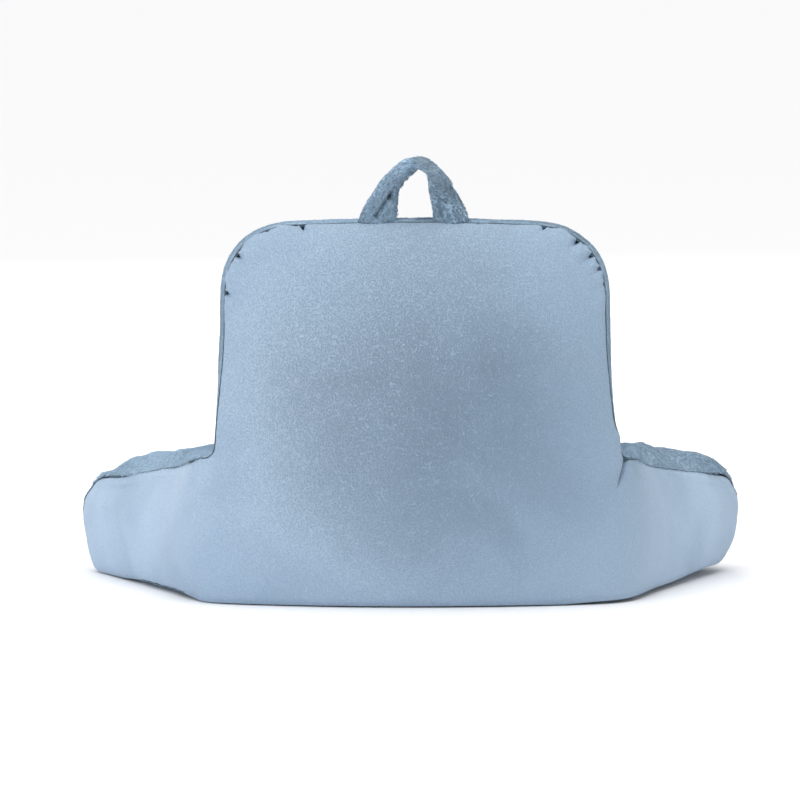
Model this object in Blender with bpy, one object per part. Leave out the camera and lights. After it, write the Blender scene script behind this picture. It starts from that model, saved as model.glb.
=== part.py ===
# Backrest pillow with two arms, seen in the photo from behind.
#
# The front, where a person sits, faces -Y. The base stands on z = 0 and the whole is centred on X and Y.
# The filled cushion shows its plush front. A velour back panel, a plush boxing band, a plush base panel
# and a plush strap handle are sewn round it, each a sheet of its own with a hair of room to the next.
# The cushion starts as a T-shaped grid in counted columns, rows and depth steps. Its points are then
# placed along the U that the pillow makes, and puffed out between the seams.

import math

import bmesh
import bpy
import numpy as np
from mathutils import Vector, noise
from mathutils.bvhtree import BVHTree

# Backrest
BACK_HEIGHT = 0.416          # top seam of the back panel
TOP_ARCH = 0.004             # rise of the top seam in the middle
FRONT_DROP = 0.010           # the front's top seam is lower than the back's by this
TOP_FADE = 4                 # power by which the arch and the drop fade further down
SHOULDER_HEIGHT = 0.162      # where the arms leave the backrest
OUTER_BASE_WIDTH = 0.210     # half the back panel's width at the base, between the bends
SHOULDER_WIDTH = 0.222       # at the shoulders
UPPER_WIDTH = 0.211          # and higher up
UPPER_START = 0.300          # height from which the sides run straight up
FRONT_BASE_WIDTH = 0.135     # half the width of the front between the arms
FRONT_FLARE = (0.030, 0.090)               # it widens from this far below the shoulders to this far above
FRONT_NARROWER = 0.008       # how much it stays behind the back's width there, less towards the top
CORNER_RADIUS = {1: 0.072, -1: 0.074}      # top corners, on the +X and -X side
BASE_HALF_DEPTH = 0.090      # half the backrest's thickness at the base
TOP_HALF_DEPTH = 0.045       # and at the top seam
TOP_LEAN = 0.010             # how far the top leans back
BASE_BOW = 0.030             # how far the back panel bows out along its bottom seam
TOP_BOW = 0.008              # and along its top seam

# Arms, on the +X and -X side
ARM_SPLAY = {1: math.radians(28), -1: math.radians(25.5)}
ARM_LENGTH = {1: 0.337, -1: 0.350}         # from the corner of the backrest to the front seam
ARM_CORNER = 0.222           # X of the corner that the outer side starts from
ARM_WIDTH = 0.124            # between the seams at the base
OUTER_BEND = 0.115           # how much of the outer side the bend takes up
INNER_BEND = 0.035           # and of the inner side
BEND_REACH = 0.36            # how long a bend keeps the directions of its ends, as a share of its chord
JUST_INSIDE = 0.95           # share of the backrest's width that gives its direction at a shoulder
ARM_TIP_HEIGHT = 0.122       # top seam at the arm's front end
TIP_TOP_RADIUS = {1: 0.060, -1: 0.050}
TIP_BASE_RADIUS = {1: 0.030, -1: 0.050}

# Filling
BASE_SEAM_HEIGHT = 0.006     # the seams round the base stand a little off the floor
PANEL_CROWN = {"back": 0.038, "front": 0.032}
CROWN_POWER = 0.62           # lower is fuller near the seams
SEAM_SLOPE = 0.75            # the crown rises from a seam at most this steeply
BAND_CROWN = {"backrest": 0.05, "arm": 0.13}  # bulge of the boxing as a share of its width
INNER_CREASE = 0.75          # how much of the crown the corners in front of the backrest lose
OUTER_CREASE = {1: 0.10, -1: 0.45}         # and the folds where the arms leave the back panel
CREASE_PLACE = {-1: 0.5, 1: 0.3}           # where in the bend, for the front and the back
CREASE_WIDTH = 1.9           # in columns
CREASE_FADE = 0.045          # how fast they fade above the shoulders
NOTCH_REACH = 0.030          # how far from the shoulders the boxing is pulled flat
TOE_ROOM = 0.004             # the boxing stays this far off the floor
LUMP_SIZE = 0.0045           # unevenness of the filling
LUMP_SPACING = 0.12
LUMP_POWER = 0.3             # lower brings it closer to the seams

# Cloth and seams
VELOUR_THICK = 0.0022
PLUSH_THICK = 0.0030
GAP = 0.0003                 # room between the filling's surface and the cloth on it
SEAM_ROOM = 0.0002           # each cloth edge stops this far short of its seam
EVENING = 0.02               # keeps a corner from sliding along flat faces when the cloth is thickened

# Handle: a strap that stands behind the top seam and makes half a turn from root to root
HANDLE_MIDDLE = 0.003        # its roots' middle, to the side of the backrest's
HANDLE_SPAN = 0.086          # between the middles of the roots
HANDLE_RISE = 0.062
HANDLE_WAIST = 0.23          # how much narrower than an ellipse the loop gets
HANDLE_WIDTH = 0.043
HANDLE_THICK = 0.0155
HANDLE_LEAN = -0.004         # its top sits this far to the side
HANDLE_INSET = 0.0125        # from the back seam to the strap's middle
HANDLE_EDGE = 0.8            # roundness of the strap's edges, 1 being an ellipse
HANDLE_STEPS = 26
HANDLE_SIDES = 12
HANDLE_ROOM = 0.0006         # between its roots and the boxing

# Cells of the grid
ARM_CELLS = 7
BEND_CELLS = 5
BACK_CELLS = 18
LOWER_ROWS = 8
UPPER_ROWS = 12
DEPTH_CELLS = 5
SIDE_CELLS = ARM_CELLS + BEND_CELLS
COLUMNS = 2 * SIDE_CELLS + BACK_CELLS
ROWS = LOWER_ROWS + UPPER_ROWS
TIP_CLOSENESS = 1.4          # above 1 the columns get closer together towards the arms' front ends
SLACK = 0.01                 # of a cell, when places in the grid are compared

BACK, FRONT, BAND, BASE = range(4)         # regions of the cushion's surface

COLOURS = {"velour": (0.384, 0.491, 0.604, 1.0), "plush": (0.262, 0.371, 0.445, 1.0)}
ROUGHNESS = {"velour": 0.85, "plush": 0.95}
SHARP_ANGLE = math.radians(50)
OVERHEAD = 1.0               # a height well above the pillow


def blend(a, b, share):
    return a + (b - a) * share


def smooth(low, high, value):
    share = min(1.0, max(0.0, (value - low) / (high - low)))
    return share * share * (3.0 - 2.0 * share)


def round_off(radius, past):
    """How far a rounded corner draws an edge in, a distance past the start of its curve."""
    past = min(max(past, 0.0), radius)
    return radius - math.sqrt(radius * radius - past * past)


def hand_and_steps(column):
    """The side of the pillow, and the columns from its shoulder outwards (negative on the backrest)."""
    if 2 * column < COLUMNS:
        return -1, SIDE_CELLS - column
    return 1, column - (COLUMNS - SIDE_CELLS)


def row_height(column, row):
    """Heights of the rows, closest together at the base, the arms' top seams and the top seam."""
    _, steps = hand_and_steps(column)
    if row > LOWER_ROWS:
        share = (row - LOWER_ROWS) / UPPER_ROWS
        share = 0.5 * (smooth(0.0, 1.0, share) + math.sin(0.5 * math.pi * share))
        return blend(SHOULDER_HEIGHT, BACK_HEIGHT, share)
    seam = SHOULDER_HEIGHT
    if steps > 0:
        seam = blend(SHOULDER_HEIGHT, ARM_TIP_HEIGHT, smooth(0, SIDE_CELLS - 2, steps))
    return blend(BASE_SEAM_HEIGHT, seam, 0.5 - 0.5 * math.cos(math.pi * row / LOWER_ROWS))


def half_depth(height):
    return blend(BASE_HALF_DEPTH, TOP_HALF_DEPTH, height / BACK_HEIGHT)


def backrest_point(face, hand, share, height):
    """A point of the backrest's back (face 1) or front (-1), share being -1 to 1 across it."""
    if height < SHOULDER_HEIGHT:
        width = blend(OUTER_BASE_WIDTH, SHOULDER_WIDTH, smooth(0.0, SHOULDER_HEIGHT, height))
    else:
        width = blend(SHOULDER_WIDTH, UPPER_WIDTH, smooth(SHOULDER_HEIGHT, UPPER_START, height))
    if face < 0:
        below, above = FRONT_FLARE
        spread = smooth(SHOULDER_HEIGHT - below, SHOULDER_HEIGHT + above, height)
        width -= FRONT_NARROWER * (1.0 - smooth(SHOULDER_HEIGHT, BACK_HEIGHT, height))
        width = blend(FRONT_BASE_WIDTH, width, spread)
    radius = CORNER_RADIUS[hand]
    width -= round_off(radius, height - (BACK_HEIGHT - radius))
    up = height / BACK_HEIGHT
    arched = 1.0 - share * share
    y = face * half_depth(height) + TOP_LEAN * up
    rise = TOP_ARCH * arched
    if face > 0:
        y += blend(BASE_BOW, TOP_BOW, up) * arched
    else:
        rise -= FRONT_DROP
    return Vector((share * width, y, height + rise * up ** TOP_FADE))


def arm_frame(face, hand, height):
    """The line of an arm's outer (face 1) or inner (-1) side: its start, direction and bend's length."""
    splay = ARM_SPLAY[hand]
    along = Vector((hand * math.sin(splay), -math.cos(splay), 0.0))
    outward = Vector((hand * math.cos(splay), math.sin(splay), 0.0))
    start = Vector((hand * ARM_CORNER, BASE_HALF_DEPTH, height))
    drawn_in = 0.5 * ARM_WIDTH * (1.0 - half_depth(height) / BASE_HALF_DEPTH)
    if face > 0:
        return start - outward * drawn_in, along, OUTER_BEND
    start -= outward * (ARM_WIDTH - drawn_in)
    front = TOP_LEAN * height / BACK_HEIGHT - half_depth(height)
    corner = (start.y - front) / math.cos(splay)
    return start, along, corner + INNER_BEND


def side_point(face, column, row, height):
    """A point of a bend or an arm."""
    hand, steps = hand_and_steps(column)
    start, along, bend = arm_frame(face, hand, height)
    if steps <= BEND_CELLS:
        root = backrest_point(face, hand, hand, height)
        root.z = height
        inside = backrest_point(face, hand, hand * JUST_INSIDE, height)
        leave = Vector((root.x - inside.x, root.y - inside.y, 0.0)).normalized()
        end = start + along * bend
        reach = BEND_REACH * (end - root).length
        t = steps / BEND_CELLS
        points = (root, root + leave * reach, end - along * reach, end)
        weights = ((1 - t) ** 3, 3 * t * (1 - t) ** 2, 3 * t * t * (1 - t), t ** 3)
        return sum((p * w for p, w in zip(points, weights)), Vector())
    seam = row_height(column, LOWER_ROWS)
    pull = round_off(TIP_TOP_RADIUS[hand], height - (seam - TIP_TOP_RADIUS[hand]))
    pull += round_off(TIP_BASE_RADIUS[hand], BASE_SEAM_HEIGHT + TIP_BASE_RADIUS[hand] - height)
    share = 1.0 - (1.0 - (steps - BEND_CELLS) / ARM_CELLS) ** TIP_CLOSENESS
    return start + along * blend(bend, ARM_LENGTH[hand] - pull, share)


def panel_point(face, column, row):
    hand, steps = hand_and_steps(column)
    height = row_height(column, row)
    if steps > 0:
        return side_point(face, column, row, height)
    return backrest_point(face, hand, 2.0 * (column - SIDE_CELLS) / BACK_CELLS - 1.0, height)


# The cushion's closed surface


def t_shaped_cage():
    """A T of grid cells with depth: x is the column, y the row and z the depth step of each point."""
    bm = bmesh.new()
    bmesh.ops.create_grid(bm, x_segments=COLUMNS, y_segments=ROWS, size=0.5)
    for vert in bm.verts:
        vert.co = Vector((round((vert.co.x + 0.5) * COLUMNS), round((vert.co.y + 0.5) * ROWS), 0.0))
    beside = [f for f in bm.faces if f.calc_center_median().y > LOWER_ROWS
              and abs(f.calc_center_median().x - 0.5 * COLUMNS) > 0.5 * BACK_CELLS]
    bmesh.ops.delete(bm, geom=beside, context='FACES')
    for item in bmesh.ops.extrude_face_region(bm, geom=bm.faces[:])["geom"]:
        if isinstance(item, bmesh.types.BMVert):
            item.co.z = DEPTH_CELLS
    across = [e for e in bm.edges if abs(e.verts[0].co.z - e.verts[1].co.z) > 0.5]
    bmesh.ops.subdivide_edges(bm, edges=across, cuts=DEPTH_CELLS - 1, use_grid_fill=True)
    return bm


def mark_regions(bm):
    """Each face's material index says which piece of cloth it belongs to."""
    for face in bm.faces:
        middle = face.calc_center_median()
        if middle.z > DEPTH_CELLS - SLACK:
            face.material_index = BACK
        elif middle.z < SLACK:
            face.material_index = FRONT
        else:
            face.material_index = BASE if middle.y < SLACK else BAND


def regions_at(vert):
    return {face.material_index for face in vert.link_faces}


def fullness(verts):
    """For each point of a panel, 0 at its seams to 1 where a film blown over its outline rises most."""
    free = [v for v in verts if len(regions_at(v)) == 1]
    place = {v: k for k, v in enumerate(free)}
    pull = np.zeros((len(free), len(free)))
    for vert, k in place.items():
        for edge in vert.link_edges:
            weight = 1.0 / edge.calc_length() ** 2
            pull[k, k] += weight
            other = place.get(edge.other_vert(vert))
            if other is not None:
                pull[k, other] -= weight
    rise = np.linalg.solve(pull, np.ones(len(free)))
    rise /= rise.max()
    return {vert: float(rise[k]) for vert, k in place.items()}


def seam_distance(vert, seams):
    """How far a point of a panel lies from the panel's nearest seam."""
    nearest = math.inf
    for a, b in seams:
        share = (vert.co - a).dot(b - a) / (b - a).length_squared
        nearest = min(nearest, (a.lerp(b, min(1.0, max(0.0, share))) - vert.co).length)
    return nearest


def crease(face, column, height):
    """What is left of a panel's crown where the arms meet the backrest."""
    hand, steps = hand_and_steps(column)
    depth = INNER_CREASE if face < 0 else OUTER_CREASE[hand]
    aside = (steps - CREASE_PLACE[face] * BEND_CELLS) / CREASE_WIDTH
    fade = max(0.0, height - SHOULDER_HEIGHT) / CREASE_FADE
    return 1.0 - depth * math.exp(-aside * aside - fade * fade)


def cushion_surface():
    """The whole outside as triangles, with a region for each, centred over the origin."""
    bm = t_shaped_cage()
    mark_regions(bm)
    cells = {v: tuple(round(c) for c in v.co) for v in bm.verts}
    widths = {}
    for vert, (column, row, depth) in cells.items():
        outer = panel_point(1, column, row)
        inner = panel_point(-1, column, row)
        share = 0.5 - 0.5 * math.cos(math.pi * depth / DEPTH_CELLS)
        vert.co = inner.lerp(outer, share)
        widths[vert] = (outer - inner).length * 4.0 * share * (1.0 - share)
    bm.normal_update()
    bmesh.ops.recalc_face_normals(bm, faces=bm.faces[:])
    moves = {}
    for face, region, name in ((1, BACK, "back"), (-1, FRONT, "front")):
        panel = [v for v in bm.verts if region in regions_at(v)]
        seams = [(e.verts[0].co, e.verts[1].co) for e in bm.edges
                 if {f.material_index for f in e.link_faces} > {region}]
        for vert, share in fullness(panel).items():
            column, _, _ = cells[vert]
            crown = PANEL_CROWN[name] * share ** CROWN_POWER * crease(face, column, vert.co.z)
            crown = min(crown, SEAM_SLOPE * seam_distance(vert, seams))
            lump = LUMP_SIZE * noise.noise(vert.co / LUMP_SPACING) * share ** LUMP_POWER
            moves[vert] = vert.normal * (crown + lump)
    notches = [vert.co.copy() for vert, cell in cells.items()
               if cell[1] == LOWER_ROWS and hand_and_steps(cell[0])[1] == 0 and regions_at(vert) >= {BAND}]
    for vert in bm.verts:
        if regions_at(vert) == {BAND}:
            near = min((vert.co - notch).length for notch in notches) / NOTCH_REACH
            crown = BAND_CROWN["arm" if hand_and_steps(cells[vert][0])[1] > 0 else "backrest"]
            move = vert.normal * crown * widths[vert] * (1.0 - math.exp(-near * near))
            room = vert.co.z - TOE_ROOM
            if -move.z > room:
                move *= room / -move.z
            moves[vert] = move
        elif regions_at(vert) == {BASE}:
            moves[vert] = Vector((0.0, 0.0, -vert.co.z))
    for vert, move in moves.items():
        vert.co += move
    low = Vector([min(v.co[k] for v in bm.verts) for k in range(3)])
    high = Vector([max(v.co[k] for v in bm.verts) for k in range(3)])
    shift = Vector((-0.5 * (low.x + high.x), -0.5 * (low.y + high.y), 0.0))
    bmesh.ops.translate(bm, verts=bm.verts[:], vec=shift)
    bmesh.ops.triangulate(bm, faces=bm.faces[:], quad_method='SHORT_EDGE')
    bm.normal_update()
    return bm, shift


# Cloth pieces and filling, cut from that surface


def sunk(vert, thick):
    """A corner's place once every face round it has sunk by the given thickness."""
    squares = np.zeros((3, 3))
    for face in vert.link_faces:
        normal = np.array(face.normal)
        squares += np.outer(normal, normal) * face.calc_area()
    aim = sum((face.normal * face.calc_area() for face in vert.link_faces), Vector())
    steadied = squares + np.eye(3) * EVENING * squares.trace()
    move = Vector(np.linalg.solve(steadied, np.array(aim)))
    reach = np.mean([face.normal.dot(move) for face in vert.link_faces])
    return vert.co - move * (thick / reach)


def drawn_back(vert, region):
    """The little step from a seam into the region's own surface."""
    step = Vector()
    for face in vert.link_faces:
        if face.material_index == region:
            step += face.calc_center_median() - vert.co
    ends = [e.other_vert(vert).co for e in vert.link_edges
            if {f.material_index for f in e.link_faces} > {region}]
    step -= step.project(ends[0] - ends[1])
    return step.normalized() * SEAM_ROOM


def layered_solid(bm, name, region, thick, rest_depth=None):
    """A solid whose outer face is one region of the surface.

    It is closed by the same region sunk by its thickness, or, for the filling, by all the other
    regions sunk by rest_depth. Along the seams a row of faces joins the two.
    """
    cut = bmesh.new()
    outer, under = {}, {}
    for vert in bm.verts:
        here = regions_at(vert)
        seam = drawn_back(vert, region) if region in here and len(here) > 1 else Vector()
        if region in here:
            outer[vert] = cut.verts.new(vert.co + seam)
        if rest_depth is None and region in here:
            under[vert] = cut.verts.new(sunk(vert, thick) + seam)
        elif rest_depth is not None and here != {region}:
            under[vert] = cut.verts.new(sunk(vert, rest_depth))
    for face in bm.faces:
        corners = list(face.verts)
        if face.material_index == region:
            cut.faces.new([outer[v] for v in corners])
        if rest_depth is None and face.material_index == region:
            cut.faces.new([under[v] for v in reversed(corners)])
        elif rest_depth is not None and face.material_index != region:
            cut.faces.new([under[v] for v in corners])
    for edge in bm.edges:
        touching = [f for f in edge.link_faces if f.material_index == region]
        if len(touching) != 1 or len(edge.link_faces) != 2:
            continue
        a, b = edge.verts                    # the same diagonal on both sides of a seam
        cut.faces.new((outer[a], outer[b], under[b]))
        cut.faces.new((outer[a], under[b], under[a]))
    cut.normal_update()
    bmesh.ops.recalc_face_normals(cut, faces=cut.faces[:])
    return finished(cut, name)


def handle_ring(angle, root_middle):
    """A ring of the strap, at an angle of -90 to 90 degrees round its loop, and its middle."""
    rise = math.cos(angle)
    middle = root_middle + Vector((
        0.5 * HANDLE_SPAN * math.sin(angle) * (1.0 - HANDLE_WAIST * rise) + HANDLE_LEAN * rise,
        0.0, HANDLE_RISE * rise))
    outward = Vector((math.sin(angle) / HANDLE_SPAN, 0.0, 0.5 * rise / HANDLE_RISE)).normalized()
    turn = angle + 0.5 * math.pi
    face = Vector((0.0, math.cos(turn), 0.0)) + outward * math.sin(turn)
    edge = outward * math.cos(turn) - Vector((0.0, math.sin(turn), 0.0))
    ring = []
    for k in range(HANDLE_SIDES):
        around = 2.0 * math.pi * k / HANDLE_SIDES
        wide = 0.5 * HANDLE_WIDTH * math.cos(around)
        bulge = math.copysign(abs(math.sin(around)) ** HANDLE_EDGE, math.sin(around))
        ring.append(middle + edge * wide + face * (0.5 * HANDLE_THICK * bulge))
    return ring, middle


def handle(bm, shift):
    """The strap's solid, its roots standing a hair above the boxing."""
    surface = BVHTree.FromBMesh(bm)
    seam = backrest_point(1, 1, 0.0, BACK_HEIGHT) + shift
    root_middle = seam + Vector((HANDLE_MIDDLE, -HANDLE_INSET, 0.0))
    strap = bmesh.new()
    rings = []
    for step in range(HANDLE_STEPS + 1):
        angle = math.pi * (step / HANDLE_STEPS - 0.5)
        points, middle = handle_ring(angle, root_middle)
        if step in (0, HANDLE_STEPS):
            points = [on_surface(surface, p) for p in points]
            ends = strap.verts.new(on_surface(surface, middle))
        ring = [strap.verts.new(p) for p in points]
        rings.append(ring)
        if step in (0, HANDLE_STEPS):
            for a, b in zip(ring, ring[1:] + ring[:1]):
                strap.faces.new((a, b, ends))
    for low, high in zip(rings, rings[1:]):
        for k in range(HANDLE_SIDES):
            after = (k + 1) % HANDLE_SIDES
            strap.faces.new((low[k], low[after], high[after], high[k]))
    strap.normal_update()
    bmesh.ops.recalc_face_normals(strap, faces=strap.faces[:])
    bmesh.ops.triangulate(strap, faces=strap.faces[:])
    return finished(strap, "handle")


def on_surface(surface, point):
    """The point moved straight up or down to a hair above the surface."""
    hit, _, _, _ = surface.ray_cast(Vector((point.x, point.y, OVERHEAD)), Vector((0.0, 0.0, -1.0)))
    return Vector((point.x, point.y, hit.z + HANDLE_ROOM))


# Scene


def cloth_material(name):
    material = bpy.data.materials.new(name)
    material.use_nodes = True
    shader = material.node_tree.nodes["Principled BSDF"]
    shader.inputs["Base Color"].default_value = COLOURS[name]
    shader.inputs["Roughness"].default_value = ROUGHNESS[name]
    shader.inputs["Metallic"].default_value = 0.0
    return material


def finished(bm, name):
    mesh = bpy.data.meshes.new(name)
    bm.to_mesh(mesh)
    bm.free()
    mesh.shade_smooth()
    mesh.set_sharp_from_angle(angle=SHARP_ANGLE)
    piece = bpy.data.objects.new(name, mesh)
    bpy.context.scene.collection.objects.link(piece)
    return piece


def main():
    for thing in list(bpy.data.objects):
        bpy.data.objects.remove(thing)
    velour = cloth_material("velour")
    plush = cloth_material("plush")
    bm, shift = cushion_surface()
    pieces = {
        "cushion": layered_solid(bm, "cushion", FRONT, 0.0, PLUSH_THICK + GAP),
        "back_panel": layered_solid(bm, "back_panel", BACK, VELOUR_THICK),
        "boxing_band": layered_solid(bm, "boxing_band", BAND, PLUSH_THICK),
        "base_panel": layered_solid(bm, "base_panel", BASE, PLUSH_THICK),
        "handle": handle(bm, shift),
    }
    bm.free()
    for name, piece in pieces.items():
        piece.data.materials.append(velour if name == "back_panel" else plush)


main()
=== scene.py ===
# Backrest pillow with arms: a velour back, short plush everywhere else.
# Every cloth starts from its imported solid, and gets its folds, seams and pile here.
import math

import bmesh
import bpy
import numpy as np
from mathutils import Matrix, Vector
from mathutils.bvhtree import BVHTree
from mathutils.kdtree import KDTree


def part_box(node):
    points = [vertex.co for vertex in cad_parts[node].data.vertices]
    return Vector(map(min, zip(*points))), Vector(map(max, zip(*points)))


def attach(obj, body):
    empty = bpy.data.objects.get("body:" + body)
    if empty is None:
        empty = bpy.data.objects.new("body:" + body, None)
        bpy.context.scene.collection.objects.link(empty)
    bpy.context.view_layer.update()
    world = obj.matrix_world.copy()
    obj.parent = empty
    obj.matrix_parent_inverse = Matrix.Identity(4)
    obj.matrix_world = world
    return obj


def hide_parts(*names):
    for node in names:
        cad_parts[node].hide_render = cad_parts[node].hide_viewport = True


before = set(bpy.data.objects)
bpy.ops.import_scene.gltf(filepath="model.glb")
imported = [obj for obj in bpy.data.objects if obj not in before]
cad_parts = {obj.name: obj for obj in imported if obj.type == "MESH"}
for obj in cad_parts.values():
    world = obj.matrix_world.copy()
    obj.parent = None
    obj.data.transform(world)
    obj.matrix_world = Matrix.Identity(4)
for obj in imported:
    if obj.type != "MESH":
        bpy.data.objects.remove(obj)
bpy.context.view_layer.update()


def addObject(name, data):
    made = bpy.data.objects.new(name, data)
    bpy.context.scene.collection.objects.link(made)
    return made


# Camera, floor and light

photoView = {
    "aim": (0.0123, 0.0, 0.2086),    # what the middle of the picture looks at
    "distance": 8.0,
    "elevation": math.radians(6.0),
    "pixelsPerMetre": 897.0,         # at that distance
    "imageWidth": 800.0,
    "sensor": 36.0,
    "sightEnd": 60.0,
}


def addCamera():
    aim = Vector(photoView["aim"])
    rise = photoView["elevation"]
    back = Vector((0.0, math.cos(rise), math.sin(rise)))      # the photo looks at the pillow's back
    data = bpy.data.cameras.new("photoCamera")
    data.sensor_width = photoView["sensor"]
    focalPixels = photoView["pixelsPerMetre"] * photoView["distance"]
    data.lens = focalPixels / photoView["imageWidth"] * photoView["sensor"]
    data.clip_end = photoView["sightEnd"]
    camera = addObject("photoCamera", data)
    camera.location = aim + back * photoView["distance"]
    camera.rotation_euler = back.to_track_quat('Z', 'Y').to_euler()
    bpy.context.scene.camera = camera


studio = {
    "floorRadius": 14.0,
    "floorEdges": 96,
    "floorColour": (0.93, 0.93, 0.94, 1.0),
    "floorRoughness": 0.9,
    "worldColour": (1.0, 1.0, 1.0, 1.0),
    "worldStrength": 0.32,
    "skyStrength": 2.3,              # soft light from straight above
    "skyAngle": math.radians(70),
    # name, place, size, power and colour; the photo's left is +X
    "lights": [("keyLight", (1.9, 2.6, 1.5), 2.0, 48.0, (0.98, 0.98, 1.0)),
               ("sideLight", (-2.6, 1.3, 1.1), 2.0, 15.0, (1.0, 0.975, 0.94)),
               ("frontLight", (0.6, -3.2, 2.0), 2.4, 35.0, (1.0, 1.0, 1.0))],
    "lightAim": (0.0, 0.0, 0.22),
}


def addLight(name, place, size, power, colour):
    data = bpy.data.lights.new(name, 'AREA')
    data.shape = 'DISK'
    data.size = size
    data.energy = power
    data.color = colour
    light = addObject(name, data)
    light.location = place
    aim = Vector(place) - Vector(studio["lightAim"])
    light.rotation_euler = aim.to_track_quat('Z', 'Y').to_euler()


def addStudio():
    bm = bmesh.new()
    bmesh.ops.create_circle(bm, cap_ends=True, segments=studio["floorEdges"],
                          radius=studio["floorRadius"])
    floor = newPiece("studioFloor", bm)
    paint = bpy.data.materials.new("studioFloor")
    paint.use_nodes = True
    shader = paint.node_tree.nodes["Principled BSDF"]
    shader.inputs["Base Color"].default_value = studio["floorColour"]
    shader.inputs["Roughness"].default_value = studio["floorRoughness"]
    floor.data.materials.append(paint)
    world = bpy.data.worlds.new("studio")
    world.use_nodes = True
    background = world.node_tree.nodes["Background"]
    background.inputs["Color"].default_value = studio["worldColour"]
    background.inputs["Strength"].default_value = studio["worldStrength"]
    bpy.context.scene.world = world
    bpy.context.scene.view_settings.view_transform = 'Standard'
    sky = bpy.data.lights.new("skyLight", 'SUN')
    sky.energy = studio["skyStrength"]
    sky.angle = studio["skyAngle"]
    addObject("skyLight", sky)
    for light in studio["lights"]:
        addLight(*light)


# Small helpers

def newPiece(name, bm):
    mesh = bpy.data.meshes.new(name)
    bm.to_mesh(mesh)
    bm.free()
    mesh.shade_smooth()
    return addObject(name, mesh)


def solidCopy(node):      # a CAD solid with its loose triangles joined
    bm = bmesh.new()
    bm.from_mesh(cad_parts[node].data)
    bmesh.ops.remove_doubles(bm, verts=bm.verts[:], dist=1e-5)
    bm.normal_update()
    return bm


def applyModifiers(piece):
    bpy.context.view_layer.update()
    graph = bpy.context.evaluated_depsgraph_get()
    finished = bpy.data.meshes.new_from_object(piece.evaluated_get(graph))
    old = piece.data
    piece.modifiers.clear()
    piece.data = finished
    finished.name = piece.name
    bpy.data.meshes.remove(old)


def pointsOf(mesh, what="co"):
    values = np.empty(len(mesh.vertices) * 3)
    mesh.vertices.foreach_get(what, values)
    return values.reshape(-1, 3)


def normalsOf(mesh):
    return pointsOf(mesh, "normal")


def placePoints(mesh, places):
    mesh.vertices.foreach_set("co", places.ravel())
    mesh.update()


def treeOf(*meshes):
    bm = bmesh.new()
    for mesh in meshes:
        bm.from_mesh(mesh)
    tree = BVHTree.FromBMesh(bm)
    bm.free()
    return tree


def roundOff(piece, levels, corners='ALL'):
    smooth = piece.modifiers.new("round", 'SUBSURF')
    smooth.levels = smooth.render_levels = levels
    smooth.boundary_smooth = corners
    applyModifiers(piece)


def unit(vectors):
    return vectors / np.maximum(np.linalg.norm(vectors, axis=1, keepdims=True), 1e-9)


def smoothRise(values, low, high):
    share = ((values - low) / (high - low)).clip(0.0, 1.0)
    return share * share * (3.0 - 2.0 * share)


def bell(away, width):      # 1 where something is met, fading out over this width
    return np.exp(-(away / width) ** 2)


def ripple(places, spacing, seed, waves=6, spread=(0.7, 1.6)):      # a smooth unevenness from about -1 to 1
    total = np.zeros(len(places))
    turns = np.random.default_rng(seed)
    for wave in range(waves):
        direction = turns.normal(size=3)
        direction *= 2.0 * math.pi / (spacing * turns.uniform(*spread) * np.linalg.norm(direction))
        total += np.sin(places @ direction + turns.uniform(0.0, 2.0 * math.pi))
    return total / (0.5 * waves)


def segmentDistance(flatPlaces, start, end):
    start, end = np.array(start), np.array(end)
    along = end - start
    share = ((flatPlaces - start) @ along / (along @ along)).clip(0.0, 1.0)
    return np.linalg.norm(flatPlaces - start - share[:, None] * along, axis=1)


def pathDistance(flatPlaces, path):
    return np.min([segmentDistance(flatPlaces, a, b) for a, b in zip(path, path[1:])], axis=0)


def nearTree(points):
    tree = KDTree(len(points))
    for k, point in enumerate(points):
        tree.insert(point, k)
    tree.balance()
    return tree


# Skins: the side of a cloth's solid that shows

skinLook = {
    "underReach": 0.0022,            # the hidden side has the filling this close in front of it
    "joinAngle": math.radians(50),
    "easing": (0.5, -0.53),          # the coarse cells are evened by turns, so that they don't shrink
    "fineness": 3,
    "seamStrip": 0.010,              # the cells this close to a seam are cut finer
    "seamShadeReach": 0.0010,
    "maskFrom": 0.3,                 # the painted shadow along the seam starts at this shade
    "hemDepth": 0.0070,
    "hemSteps": 2,
    "hemShade": 2.0,                 # marks the turned-in edge, where no pile grows and the painted seam shadow is full
    "calmEdge": 0.030,               # the cloth is even this close to its seams
    "sinkEdge": 0.004,
}


def joinCells(bm):      # a solid's triangles become the quads that they halve
    angle = skinLook["joinAngle"]
    bmesh.ops.join_triangles(bm, faces=bm.faces[:], angle_face_threshold=angle, angle_shape_threshold=angle)


def showingSkin(node, name, filling, fineness, evenings=0):
    bm = solidCopy(node)
    hidden = set()
    for face in bm.faces:
        hit = filling.ray_cast(face.calc_center_median(), face.normal, skinLook["underReach"])
        if hit[0] is not None:
            hidden.add(face)
    inside = {vert for face in hidden for vert in face.verts}
    gone = [f for f in bm.faces if f in hidden or any(v in inside for v in f.verts)]
    print(name, "shows", len(bm.faces) - len(gone), "and hides", len(hidden), "faces")
    bmesh.ops.delete(bm, geom=gone, context='FACES')
    joinCells(bm)
    inner = [v for v in bm.verts if not v.is_boundary]
    for share in skinLook["easing"] * evenings:
        middles = [sum((e.other_vert(v).co for e in v.link_edges), Vector()) / len(v.link_edges)
                   for v in inner]
        for vert, middle in zip(inner, middles):
            vert.co = vert.co.lerp(middle, share)
    skin = newPiece(name, bm)
    roundOff(skin, fineness, 'PRESERVE_CORNERS')
    return skin


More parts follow.
